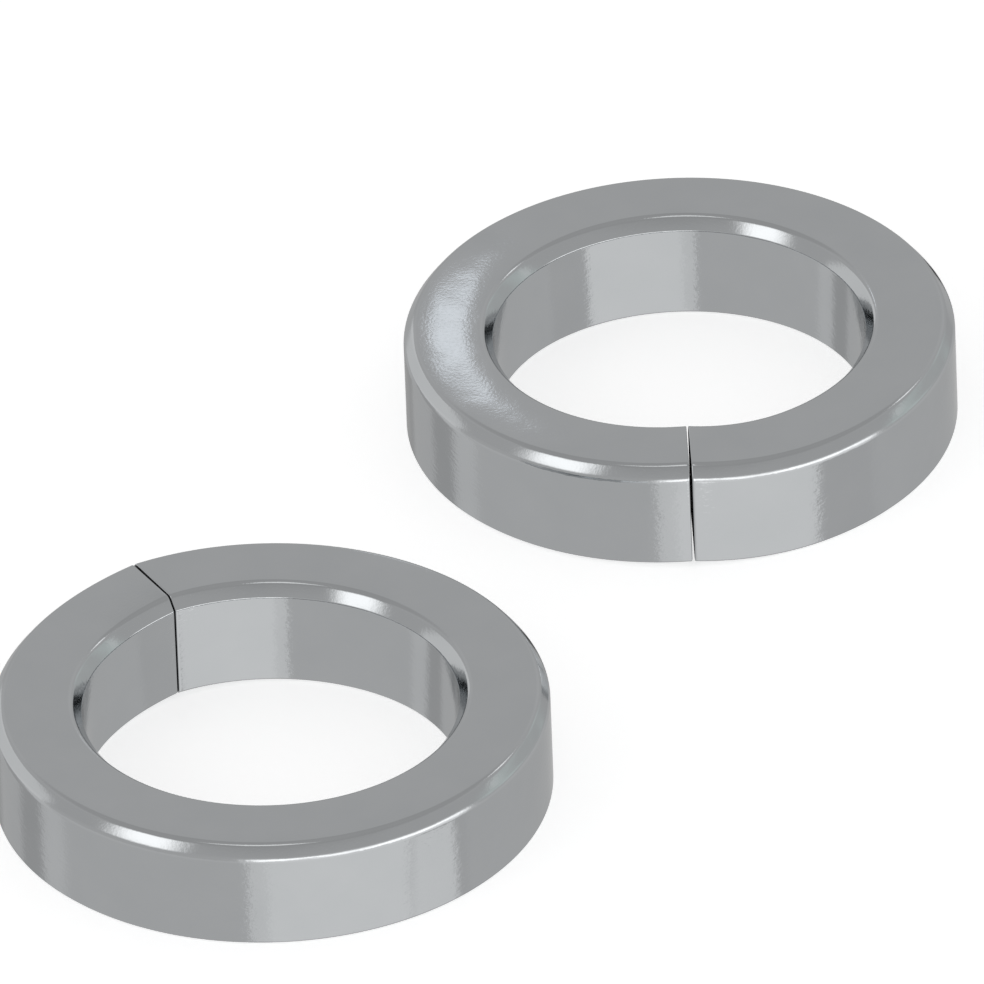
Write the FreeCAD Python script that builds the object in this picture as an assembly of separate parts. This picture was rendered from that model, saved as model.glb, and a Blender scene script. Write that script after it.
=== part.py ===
import FreeCAD, Part
import math
import os

# A pair of split spring washers in steel, lying apart on the plane z = 0 with their chamfered sides up.
# Lengths are in millimetres. Angles are in degrees from +X, counter-clockwise as seen from above.

# Section of the bar that each washer is coiled from
bore_diameter = 18.3
bar_width = 4.4
bar_height = 5.5

# Chamfers along the two upper edges, and the small flats that break the two lower edges
chamfer_width = 0.5
chamfer_height = 0.65
lower_break = 0.15

# The ring is cut square, and both of its ends are sprung up by end_rise, so that they meet with no step.
# The steep end lies counter-clockwise of the slit and climbs over a short arc, the gentle end over a long one.
slit_gap = 0.1
end_break = 0.06
end_rise = 0.28
steep_end_arc = 30.0
gentle_end_arc = 70.0

# Where the washers lie: the clear distance between their rims, the direction from the front washer
# to the rear one, and the direction in which each slit points
washer_gap = 10.4
pair_direction = 56.7
front_slit_direction = 119.5
rear_slit_direction = 271.0

# Points that carry the curve of each sprung end, and how far the bar stands past its walls before they are cut
points_on_end = 9
wall_allowance = 0.3

bore_radius = bore_diameter / 2
outer_radius = bore_radius + bar_width
middle_radius = bore_radius + bar_width / 2
half_slit_angle = math.degrees(math.asin(slit_gap / 2 / middle_radius))
up = FreeCAD.Vector(0, 0, 1)
centre = FreeCAD.Vector(0, 0, 0)


def turned(shape, angle, height=0.0):
    """A copy of the shape, raised and then turned about the washer's axis."""
    copy = shape.copy()
    copy.translate(up * height)
    copy.rotate(centre, up, angle)
    return copy


def bar_section():
    """The section in the XZ plane. Its side walls stand off by the allowance, and its flats run out to them."""
    inner_wall = bore_radius - wall_allowance
    outer_wall = outer_radius + wall_allowance
    break_head = lower_break + wall_allowance
    chamfer_foot = bar_height - (chamfer_width + wall_allowance) * chamfer_height / chamfer_width
    corners = [
        (bore_radius + lower_break, 0),
        (outer_radius - lower_break, 0),
        (outer_wall, break_head),
        (outer_wall, chamfer_foot),
        (outer_radius - chamfer_width, bar_height),
        (bore_radius + chamfer_width, bar_height),
        (inner_wall, chamfer_foot),
        (inner_wall, break_head),
    ]
    points = [FreeCAD.Vector(radius, 0, height) for radius, height in corners]
    return Part.makePolygon(points + points[:1])


def path_point(angle, height):
    turn = math.radians(angle)
    return FreeCAD.Vector(middle_radius * math.cos(turn), middle_radius * math.sin(turn), height)


def sprung_edge(low_angle, tip_angle):
    """The path of one sprung end. It leaves the flat stretch with no bend and climbs ever more steeply."""
    points = []
    for step in range(points_on_end):
        share = step / (points_on_end - 1)
        angle = low_angle + share * (tip_angle - low_angle)
        points.append(path_point(angle, end_rise * share ** 2))
    curve = Part.BSplineCurve()
    curve.interpolate(points)
    return curve.toShape()


def flat_edge(start_angle, end_angle):
    angles = (start_angle, (start_angle + end_angle) / 2, end_angle)
    return Part.Arc(*[path_point(angle, 0) for angle in angles]).toShape()


def coiled_bar():
    """The bar round the whole turn, with its section upright all the way and the slit at +X."""
    flat_start = steep_end_arc
    flat_end = 360 - gentle_end_arc
    steep_tip = half_slit_angle
    gentle_tip = 360 - half_slit_angle
    path = Part.Wire([
        sprung_edge(flat_start, steep_tip),
        flat_edge(flat_start, flat_end),
        sprung_edge(flat_end, gentle_tip),
    ])
    sweep = Part.BRepOffsetAPI.MakePipeShell(path)
    sweep.setBiNormalMode(up)
    sweep.add(turned(bar_section(), steep_tip, end_rise))
    sweep.build()
    sweep.makeSolid()
    return sweep.shape()


def true_walls():
    """A tube with the washer's bore and outside, taller than the bar at both ends."""
    base = up * -bar_height
    tube_height = 3 * bar_height
    outside = Part.makeCylinder(outer_radius, tube_height, base)
    bore = Part.makeCylinder(bore_radius, tube_height, base)
    return outside.cut(bore)


def slit_faces(ring):
    """The two cut faces: the only flat faces that stand upright."""
    flat_faces = [face for face in ring.Faces if isinstance(face.Surface, Part.Plane)]
    return [face for face in flat_faces if abs(face.normalAt(0, 0).z) < 0.5]


def spring_washer():
    ring = coiled_bar().common(true_walls())
    cut_edges = [edge for face in slit_faces(ring) for edge in face.Edges]
    return ring.makeChamfer(end_break, cut_edges).Solids[0]


def placed_washers():
    """Each node's name and solid. The two centres lie evenly about the origin."""
    washer = spring_washer()
    half_step = outer_radius + washer_gap / 2
    direction = math.radians(pair_direction)
    offset = FreeCAD.Vector(half_step * math.cos(direction), half_step * math.sin(direction), 0)
    washers = {}
    for name, slit_direction, place in (
        ("front_washer", front_slit_direction, -offset),
        ("rear_washer", rear_slit_direction, offset),
    ):
        washers[name] = turned(washer, slit_direction)
        washers[name].translate(place)
    return washers


os.makedirs("parts", exist_ok=True)
for name, solid in placed_washers().items():
    solid.exportStep("parts/" + name + ".step")
    print(name, "valid:", solid.isValid(), "volume:", round(solid.Volume, 2))
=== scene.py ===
import math

import bmesh
import bpy
from mathutils import Matrix, Vector


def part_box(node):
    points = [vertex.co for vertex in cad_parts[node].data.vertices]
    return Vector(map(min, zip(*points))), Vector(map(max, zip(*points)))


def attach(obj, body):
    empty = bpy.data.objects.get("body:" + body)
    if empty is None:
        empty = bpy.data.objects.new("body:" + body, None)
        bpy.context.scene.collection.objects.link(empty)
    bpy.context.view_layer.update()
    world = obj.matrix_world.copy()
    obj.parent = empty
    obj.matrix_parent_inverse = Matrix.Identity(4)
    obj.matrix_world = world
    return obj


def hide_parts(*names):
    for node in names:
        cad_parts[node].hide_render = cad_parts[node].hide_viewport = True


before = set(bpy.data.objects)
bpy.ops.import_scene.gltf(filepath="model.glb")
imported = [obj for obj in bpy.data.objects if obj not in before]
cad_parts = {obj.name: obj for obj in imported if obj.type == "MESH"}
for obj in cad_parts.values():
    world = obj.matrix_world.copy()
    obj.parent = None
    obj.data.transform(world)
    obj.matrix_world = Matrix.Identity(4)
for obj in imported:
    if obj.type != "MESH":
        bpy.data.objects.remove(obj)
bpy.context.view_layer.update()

# One millimetre in metres
MM = 0.001

# The washer's sizes in millimetres, as in the part's own source
BORE_RADIUS = 9.15
BAR_WIDTH = 4.4
BAR_HEIGHT = 5.5
CHAMFER_WIDTH = 0.5
CHAMFER_HEIGHT = 0.65
LOWER_BREAK = 0.15
SLIT_GAP = 0.1
END_BREAK = 0.06
END_RISE = 0.28
STEEP_END_ARC = 30.0
GENTLE_END_ARC = 70.0
SLIT_DIRECTIONS = {"front_washer": 119.5, "rear_washer": 271.0}

OUTER_RADIUS = BORE_RADIUS + BAR_WIDTH
MIDDLE_RADIUS = BORE_RADIUS + BAR_WIDTH / 2

# The corners are rounded a little, so that they catch the light as fine lines. Radii are in millimetres
FACE_CORNER_RADIUS = 0.38
WALL_CORNER_RADIUS = 0.55
BORE_CORNER_RADIUS = 0.18
LOWER_CORNER_RADIUS = 0.06
CORNER_STEPS = 6

# How finely the bar is divided along its length, and how near two points are that become one, in millimetres
RINGS = 720
END_STEPS = 3
WELD_DISTANCE = 0.001


# The washers

def rounded_section():
    """Points round the bar's section: place, outward direction, and how far each lies in a rounded corner."""
    inner = BORE_RADIUS
    outer = OUTER_RADIUS
    top = BAR_HEIGHT
    corners = [
        (inner + LOWER_BREAK, 0, LOWER_CORNER_RADIUS),
        (outer - LOWER_BREAK, 0, LOWER_CORNER_RADIUS),
        (outer, LOWER_BREAK, LOWER_CORNER_RADIUS),
        (outer, top - CHAMFER_HEIGHT, WALL_CORNER_RADIUS),
        (outer - CHAMFER_WIDTH, top, FACE_CORNER_RADIUS),
        (inner + CHAMFER_WIDTH, top, FACE_CORNER_RADIUS),
        (inner, top - CHAMFER_HEIGHT, BORE_CORNER_RADIUS),
        (inner, LOWER_BREAK, LOWER_CORNER_RADIUS),
    ]
    points = []
    for number, (radius, height, rounding) in enumerate(corners):
        corner = Vector((radius, height))
        before = Vector(corners[number - 1][:2])
        after = Vector(corners[(number + 1) % len(corners)][:2])
        arriving = (corner - before).normalized()
        leaving = (after - corner).normalized()
        turn = math.acos(arriving.dot(leaving))
        reach = rounding * math.tan(turn / 2)
        first_outward = Vector((arriving.y, -arriving.x))
        arc_centre = corner - arriving * reach - first_outward * rounding
        for step in range(CORNER_STEPS + 1):
            share = step / CORNER_STEPS
            outward = first_outward.copy()
            outward.rotate(Matrix.Rotation(turn * share, 2))
            points.append((arc_centre + outward * rounding, outward, math.sin(math.pi * share)))
    return points


def rise(angle):
    """How far the bar has climbed, at an angle from the slit in degrees."""
    if angle < STEEP_END_ARC:
        return END_RISE * (1 - angle / STEEP_END_ARC) ** 2
    if angle > 360 - GENTLE_END_ARC:
        return END_RISE * (1 - (360 - angle) / GENTLE_END_ARC) ** 2
    return 0.0


def ring_stations():
    """Angle from the slit, and how far the section is drawn in, for each ring of points from end to end."""
    half_slit = math.degrees(math.asin(SLIT_GAP / 2 / MIDDLE_RADIUS))
    break_angle = math.degrees(END_BREAK / MIDDLE_RADIUS)
    ends = []
    for step in range(END_STEPS):
        turn = math.pi / 2 * step / END_STEPS
        ends.append((half_slit + break_angle * (1 - math.cos(turn)), END_BREAK * (1 - math.sin(turn))))
    first = half_slit + break_angle
    span = 360 - 2 * first
    middle = [(first + span * step / RINGS, 0.0) for step in range(RINGS + 1)]
    return ends + middle + [(360 - angle, inset) for angle, inset in reversed(ends)]


def washer_mesh(name, centre, slit_direction):
    section = rounded_section()
    stations = ring_stations()
    mesh = bpy.data.meshes.new(name)
    shape = bmesh.new()
    # How far each point lies in a rounded corner or an end break. The material lightens these places, partly
    # as wear and partly as a painted highlight
    arris = shape.verts.layers.float.new("arris")
    cut = shape.faces.layers.float.new("cut")
    rings = []
    for angle, inset in stations:
        turn = math.radians(angle + slit_direction)
        ring = []
        for place, outward, sharpness in section:
            radius, height = place - outward * inset
            spot = Vector((radius * math.cos(turn), radius * math.sin(turn), height + rise(angle)))
            vertex = shape.verts.new((centre + spot) * MM)
            vertex[arris] = max(sharpness, inset / END_BREAK)
            ring.append(vertex)
        rings.append(ring)
    for ring, next_ring in zip(rings, rings[1:]):
        for number, vertex in enumerate(ring):
            shape.faces.new((vertex, ring[number - 1], next_ring[number - 1], next_ring[number]))
    for end in (rings[0], reversed(rings[-1])):
        # The two end caps are the cut faces. The material paints them dark: bare steel, and painted shade in
        # the narrow slit
        shape.faces.new(end)[cut] = 1.0
    bmesh.ops.remove_doubles(shape, verts=shape.verts, dist=WELD_DISTANCE * MM)
    bmesh.ops.recalc_face_normals(shape, faces=shape.faces)
    for face in shape.faces:
        face.smooth = face[cut] == 0
    shape.to_mesh(mesh)
    shape.free()
    return mesh


def make_washer(node, material):
    low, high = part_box(node)
    centre = Vector(((low.x + high.x) / 2, (low.y + high.y) / 2, low.z)) / MM
    name = node.replace("_washer", "_spring_ring")
    washer = bpy.data.objects.new(name, washer_mesh(name, centre, SLIT_DIRECTIONS[node]))
    bpy.context.scene.collection.objects.link(washer)
    even_normals = washer.modifiers.new("even_normals", "WEIGHTED_NORMAL")
    even_normals.mode = "FACE_AREA"
    even_normals.weight = 100
    washer.data.materials.append(material)
    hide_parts(node)
    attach(washer, "root")
    return washer


# Materials

def add_node(tree, kind, inputs=None, **settings):
    """A new node with its settings, and its inputs set to values or linked to other nodes' outputs."""
    node = tree.nodes.new(kind)
    for name, value in settings.items():
        setattr(node, name, value)
    for name, value in (inputs or {}).items():
        if isinstance(value, bpy.types.NodeSocket):
            tree.links.new(value, node.inputs[name])
        else:
            node.inputs[name].default_value = value
    return node


def new_material(name):
    material = bpy.data.materials.new(name)
    material.use_nodes = True
    return material, material.node_tree, material.node_tree.nodes["Principled BSDF"]


def math_node(tree, operation, first, second=0.5, clamp=False):
    node = add_node(tree, "ShaderNodeMath", {0: first, 1: second}, operation=operation, use_clamp=clamp)
    return node.outputs[0]


def noise(tree, place, scale, detail=2.0, roughness=0.5):
    node = add_node(tree, "ShaderNodeTexNoise", {
        "Vector": place,
        "Scale": scale,
        "Detail": detail,
        "Roughness": roughness,
    })
    return node.outputs["Fac"]


def mapped(tree, value, low, high, to_low, to_high):
    node = add_node(tree, "ShaderNodeMapRange", {
        "Value": value,
        "From Min": low,
        "From Max": high,
        "To Min": to_low,
        "To Max": to_high,
    })
    return node.outputs["Result"]


def mixed_colour(tree, share, first, second):
    node = tree.nodes.new("ShaderNodeMix")
    node.data_type = "RGBA"
    tree.links.new(share, node.inputs["Factor"])
    for socket, value in ((node.inputs[6], first), (node.inputs[7], second)):
        if isinstance(value, bpy.types.NodeSocket):
            tree.links.new(value, socket)
        else:
            socket.default_value = (*value, 1)
    return node.outputs[2]


def bumped(tree, height, distance_mm, normal=None):
    inputs = {"Height": height, "Strength": 1.0, "Distance": distance_mm * MM}
    if normal:
        inputs["Normal"] = normal
    return add_node(tree, "ShaderNodeBump", inputs).outputs["Normal"]


# The zinc plate: its colours, roughness and tint at grazing angles
PLATE_DARK = (0.589, 0.607, 0.619)
PLATE_LIGHT = (0.609, 0.625, 0.637)
# The lighter corner colour is partly worn plate and partly a painted highlight along the corner lines
RUBBED_CORNER_AND_HIGHLIGHT = (0.72, 0.735, 0.75)
RUBBED_AND_HIGHLIGHT_SHARE = 0.35
# The cut faces' dark colour is bare steel, and also painted shade for the narrow slit between them
CUT_FACE_AND_SLIT_SHADE = (0.2, 0.2, 0.205)
CUT_EXTRA_ROUGHNESS = 0.5
SMOOTHEST = 0.08
ROUGHEST = 0.11
GRAZING_TINT = (0.86, 0.86, 0.86, 1)

# Its noises: how many to the millimetre, how high their bumps are in millimetres, and the part of a noise's
# range that is used. The streaks are drawn out level, and fade where a surface is no longer upright
CLOUDS_PER_MM = 0.35
WAVES_PER_MM = 0.5
WAVE_HEIGHT = 0.012
STREAKS_PER_MM = 2.0
STREAK_HEIGHT = 0.008
STREAK_STRETCH = (1, 1, 3)
STREAKS_FADE = (0.1, 0.6)
GRAIN_PER_MM = 6.5
GRAIN_HEIGHT = 0.003
NOISE_RANGE = (0.3, 0.7)
GRITTY = 0.6


def zinc_steel():
    """Satin zinc plate: a neutral, slightly cool grey with a fine grain, and corners lightened partly as worn
    plate and partly as a painted highlight.
    The two cut faces in the slit are bare and dark: bare steel, and painted shade in the narrow slit."""
    material, tree, shader = new_material("zinc_steel")
    place = add_node(tree, "ShaderNodeTexCoord").outputs["Object"]
    stretched = add_node(tree, "ShaderNodeVectorMath", {0: place, 1: STREAK_STRETCH}, operation="MULTIPLY")
    corner = add_node(tree, "ShaderNodeAttribute", attribute_name="arris").outputs["Fac"]
    cut = add_node(tree, "ShaderNodeAttribute", attribute_name="cut").outputs["Fac"]
    clouds = noise(tree, place, CLOUDS_PER_MM / MM, detail=3.0)
    grain = noise(tree, place, GRAIN_PER_MM / MM, roughness=GRITTY)
    facing = add_node(tree, "ShaderNodeSeparateXYZ", {
        "Vector": add_node(tree, "ShaderNodeNewGeometry").outputs["Normal"],
    }).outputs["Z"]
    upright = mapped(tree, math_node(tree, "ABSOLUTE", facing), *STREAKS_FADE, 1.0, 0.0)
    level_noise = noise(tree, stretched.outputs[0], STREAKS_PER_MM / MM, roughness=GRITTY)
    streaks = math_node(tree, "MULTIPLY", level_noise, upright)
    cloud_share = mapped(tree, clouds, *NOISE_RANGE, 0.0, 1.0)
    plate = mixed_colour(tree, cloud_share, PLATE_DARK, PLATE_LIGHT)
    # Lighten the corners: worn plate, and a painted highlight along each corner line
    rubbed_and_highlit = math_node(tree, "MULTIPLY", corner, RUBBED_AND_HIGHLIGHT_SHARE)
    colour = mixed_colour(tree, rubbed_and_highlit, plate, RUBBED_CORNER_AND_HIGHLIGHT)
    # Darken the cut faces: bare steel, and painted shade in the slit
    colour = mixed_colour(tree, cut, colour, CUT_FACE_AND_SLIT_SHADE)
    satin = mapped(tree, grain, *NOISE_RANGE, SMOOTHEST, ROUGHEST)
    dulled = math_node(tree, "MULTIPLY", cut, CUT_EXTRA_ROUGHNESS)
    waved = bumped(tree, noise(tree, place, WAVES_PER_MM / MM, detail=1.0), WAVE_HEIGHT)
    streaked = bumped(tree, streaks, STREAK_HEIGHT, waved)
    grained = bumped(tree, grain, GRAIN_HEIGHT, streaked)
    tree.links.new(colour, shader.inputs["Base Color"])
    tree.links.new(math_node(tree, "ADD", satin, dulled), shader.inputs["Roughness"])
    tree.links.new(grained, shader.inputs["Normal"])
    shader.inputs["Metallic"].default_value = 1.0
    shader.inputs["Specular Tint"].default_value = GRAZING_TINT
    return material


# The floor and the light round it

FLOOR_SIZE = 8.0
FLOOR_COLOUR = (0.92, 0.92, 0.92)
FLOOR_LIFT = 0.58


def make_floor():
    """A plain white floor. What the camera sees of it is lifted to white, and keeps the washers' shadow."""
    half = FLOOR_SIZE / 2
    mesh = bpy.data.meshes.new("floor")
    corners = [(-half, -half, 0), (half, -half, 0), (half, half, 0), (-half, half, 0)]
    mesh.from_pydata(corners, [], [(0, 1, 2, 3)])
    floor = bpy.data.objects.new("floor", mesh)
    bpy.context.scene.collection.objects.link(floor)
    material, tree, shader = new_material("floor_paint")
    rays = add_node(tree, "ShaderNodeLightPath").outputs
    seen = math_node(tree, "ADD", rays["Is Camera Ray"], rays["Is Glossy Ray"])
    seen = math_node(tree, "ADD", seen, rays["Is Transmission Ray"], clamp=True)
    lift = math_node(tree, "MULTIPLY", seen, FLOOR_LIFT)
    tree.links.new(lift, shader.inputs["Emission Strength"])
    shader.inputs["Emission Color"].default_value = (1, 1, 1, 1)
    shader.inputs["Base Color"].default_value = (*FLOOR_COLOUR, 1)
    shader.inputs["Roughness"].default_value = 1.0
    shader.inputs["Specular IOR Level"].default_value = 0.0
    material.cycles.emission_sampling = "NONE"
    mesh.materials.append(material)
    floor.visible_glossy = False


# Each zone of the studio's wall: azimuth from and to, elevation from and to, soft edge in degrees, brightness
# and tint. Azimuths are from +X, counter-clockwise as seen from above. A later zone covers the earlier ones,
# and a patchy zone has uneven brightness.
ALL_ROUND = (-180, 180)
WHITE = (1.0, 1.0, 1.0)
GREENISH = (0.94, 1.02, 1.0)
COOL = (0.92, 0.98, 1.06)
WALL_BRIGHTNESS = 0.485
ZONES = [
    # The studio's lower half, which the walls reflect, the part that the faces reflect, and the ceiling
    (ALL_ROUND, (-90, -8), 6, 0.55, WHITE),
    ((60, 120), (20, 48), 8, 0.515, WHITE),
    (ALL_ROUND, (44, 90), 16, 0.40, WHITE),
    # Seen in the corner below the face, on the left of the outer chamfer and in the corner above the wall
    ((-150, -60), (70, 86), 6, 0.95, WHITE),
    ((118, 172), (-8, 19), 5, 0.73, WHITE),
    ((-101, -10), (-20, 20), 12, 0.88, WHITE),
    # The bright band on the walls, and the darker part on its right
    ((-102, -33), (-90, -8), 3, 0.75, WHITE),
    ((-94, -33), (-90, -8), 4, 0.83, WHITE),
    ((-31, -4), (-90, -22), 4, 0.52, WHITE),
    # The narrow bands on the left of the outer wall and on the right of the bore
    ((140.5, 157), (-90, -8), 4, 0.43, WHITE),
    ((158, 172), (-90, -8), 6, 0.62, WHITE),
    ((96, 116), (-90, -26), 4, 0.42, WHITE),
    # The dark line on the right of the rim, the glints on both chamfers, and two light spots on the right
    ((70, 82), (-27.5, -20.8), 2.5, 0.08, WHITE),
    ((-160, -133), (26, 46), 16, 1.6, WHITE),
    ((5, 12), (16, 22), 3, 0.76, WHITE),
    ((30, 44), (38, 45), 3, 1.2, WHITE),
]
PATCHY_ZONES = [
    ((-101, -12), (-6, 14), 8, 1.7, WHITE),
    ((-2, 48), (-2, 22), 8, 0.62, GREENISH),
]
PATCH_SCALE = 3.2
PATCH_RANGE = (0.38, 0.62)
FAINTEST_PATCH = 0.2


def window(tree, value, low, high, soft):
    """1 between low and high, and 0 outside, with soft edges."""
    sides = []
    for start, end in ((low - soft / 2, low + soft / 2), (high + soft / 2, high - soft / 2)):
        node = add_node(tree, "ShaderNodeMapRange", {
            "Value": value,
            "From Min": start,
            "From Max": end,
        }, interpolation_type="SMOOTHSTEP")
        sides.append(node.outputs["Result"])
    return math_node(tree, "MULTIPLY", *sides)


def make_world():
    world = bpy.data.worlds.new("studio")
    bpy.context.scene.world = world
    world.use_nodes = True
    world.cycles.sampling_method = "NONE"
    tree = world.node_tree
    direction = add_node(tree, "ShaderNodeTexCoord").outputs["Generated"]
    parts = add_node(tree, "ShaderNodeSeparateXYZ", {"Vector": direction}).outputs
    azimuth = math_node(tree, "DEGREES", math_node(tree, "ARCTAN2", parts["Y"], parts["X"]))
    elevation = math_node(tree, "DEGREES", math_node(tree, "ARCSINE", parts["Z"]))
    patches = noise(tree, direction, PATCH_SCALE, roughness=GRITTY)
    uneven = mapped(tree, patches, *PATCH_RANGE, FAINTEST_PATCH, 1.0)
    colour = add_node(tree, "ShaderNodeRGB").outputs[0]
    colour.default_value = (WALL_BRIGHTNESS, WALL_BRIGHTNESS, WALL_BRIGHTNESS, 1)
    for zone in ZONES + PATCHY_ZONES:
        azimuths, elevations, soft, brightness, tint = zone
        share = window(tree, elevation, *elevations, soft)
        if azimuths != ALL_ROUND:
            share = math_node(tree, "MULTIPLY", share, window(tree, azimuth, *azimuths, soft))
        if zone in PATCHY_ZONES:
            share = math_node(tree, "MULTIPLY", share, uneven)
        colour = mixed_colour(tree, share, colour, [brightness * part for part in tint])
    tree.links.new(colour, tree.nodes["Background"].inputs["Color"])


def fade_ends(box, soft):
    """Let the lamp's light fade over the soft width at its left and right ends."""
    lamp = box.data
    lamp.use_nodes = True
    tree = lamp.node_tree
    along = box.rotation_quaternion @ Vector((1, 0, 0))
    place = add_node(tree, "ShaderNodeNewGeometry").outputs["Position"]
    shift = add_node(tree, "ShaderNodeVectorMath", {0: place, 1: box.location}, operation="SUBTRACT")
    across = add_node(tree, "ShaderNodeVectorMath", {0: shift.outputs[0], 1: along}, operation="DOT_PRODUCT")
    half = lamp.size / 2
    share = window(tree, across.outputs["Value"], soft / 2 - half, half - soft / 2, soft)
    tree.links.new(share, tree.nodes["Emission"].inputs["Strength"])


def soft_box(name, azimuth, elevation, distance, width, height, radiance, tint, target):
    """A rectangular lamp that faces its target. Azimuth and elevation are in degrees, the rest in metres."""
    lamp = bpy.data.lights.new(name, "AREA")
    lamp.shape = "RECTANGLE"
    lamp.size = width
    lamp.size_y = height
    lamp.energy = radiance * math.pi * width * height
    lamp.color = tint
    around = math.radians(azimuth)
    above = math.radians(elevation)
    away = Vector((math.cos(around) * math.cos(above), math.sin(around) * math.cos(above), math.sin(above)))
    box = bpy.data.objects.new(name, lamp)
    box.location = target + away * distance
    box.rotation_mode = "QUATERNION"
    box.rotation_quaternion = away.to_track_quat("Z", "Y")
    box.visible_camera = False
    bpy.context.scene.collection.objects.link(box)
    return box


# Two small soft boxes, in metres. The near one gives the bright patch on the rear washer's face. The low one
# stands lower than the floor, and gives the right part of the bright band on the front washer's wall
NEAR_BOX_DISTANCE = 0.06
NEAR_BOX_WIDTH = 0.0048
NEAR_BOX_HEIGHT = 0.0055
NEAR_BOX_RADIANCE = 0.6
LOW_BOX_DISTANCE = 0.024
LOW_BOX_WIDTH = 0.012
LOW_BOX_HEIGHT = 0.0075
LOW_BOX_RADIANCE = 0.30
LOW_BOX_FADE = 0.0022

# Where the low box is aimed on the wall: the direction in degrees, and the height in millimetres
AIM_DIRECTION = -55.5
AIM_HEIGHT = 1.6


def make_lamps():
    """The two soft boxes stand where the camera sees them in the metal. The zones give all other light."""
    low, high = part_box("rear_washer")
    left_of_face = Vector((low.x + BAR_WIDTH / 2 * MM, (low.y + high.y) / 2, BAR_HEIGHT * MM))
    soft_box("near_box", 90, CAMERA_ELEVATION, NEAR_BOX_DISTANCE, NEAR_BOX_WIDTH, NEAR_BOX_HEIGHT,
             NEAR_BOX_RADIANCE, COOL, left_of_face)
    low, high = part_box("front_washer")
    centre = (low + high) / 2
    turn = math.radians(AIM_DIRECTION)
    wall = Vector((OUTER_RADIUS * math.cos(turn), OUTER_RADIUS * math.sin(turn), AIM_HEIGHT)) * MM
    wall += Vector((centre.x, centre.y, 0))
    mirrored = 2 * AIM_DIRECTION + 90
    low_box = soft_box("low_box", mirrored, -CAMERA_ELEVATION, LOW_BOX_DISTANCE, LOW_BOX_WIDTH,
                       LOW_BOX_HEIGHT, LOW_BOX_RADIANCE, WHITE, wall)
    fade_ends(low_box, LOW_BOX_FADE)


# The camera stands where the photograph was taken from. Places in the photograph are in pixels of its frame.
FRAME_PIXELS = 984
PIXELS_PER_MM = 20.66
FRONT_FACE_PIXEL = (270.2, 693.0)
CAMERA_ELEVATION = 33.5
CAMERA_ROLL = 2.2
CAMERA_LENS = 1400.0
SENSOR_WIDTH = 36.0


def make_camera():
    low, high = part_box("front_washer")
    target = Vector(((low.x + high.x) / 2, (low.y + high.y) / 2, BAR_HEIGHT * MM))
    above = math.radians(CAMERA_ELEVATION)
    roll = math.radians(CAMERA_ROLL)
    back = Vector((0, -math.cos(above), math.sin(above)))
    level_right = Vector((1, 0, 0))
    level_up = back.cross(level_right)
    right = level_right * math.cos(roll) - level_up * math.sin(roll)
    up = level_right * math.sin(roll) + level_up * math.cos(roll)
    metres_per_pixel = MM / PIXELS_PER_MM
    across = (FRAME_PIXELS / 2 - FRONT_FACE_PIXEL[0]) * metres_per_pixel
    upward = (FRONT_FACE_PIXEL[1] - FRAME_PIXELS / 2) * metres_per_pixel
    distance = FRAME_PIXELS * metres_per_pixel * CAMERA_LENS / SENSOR_WIDTH
    place = target + right * across + up * upward + back * distance
    lens = bpy.data.cameras.new("camera")
    lens.lens = CAMERA_LENS
    lens.sensor_width = SENSOR_WIDTH
    lens.clip_start = distance / 10
    lens.clip_end = distance * 10
    camera = bpy.data.objects.new("camera", lens)
    camera.matrix_world = Matrix((
        (right.x, up.x, back.x, place.x),
        (right.y, up.y, back.y, place.y),
        (right.z, up.z, back.z, place.z),
        (0, 0, 0, 1),
    ))
    bpy.context.scene.collection.objects.link(camera)
    bpy.context.scene.camera = camera


steel = zinc_steel()
for node_name in SLIT_DIRECTIONS:
    make_washer(node_name, steel)
make_floor()
make_world()
make_lamps()
make_camera()
bpy.context.scene.view_settings.view_transform = "Standard"

bpy.context.view_layer.update()
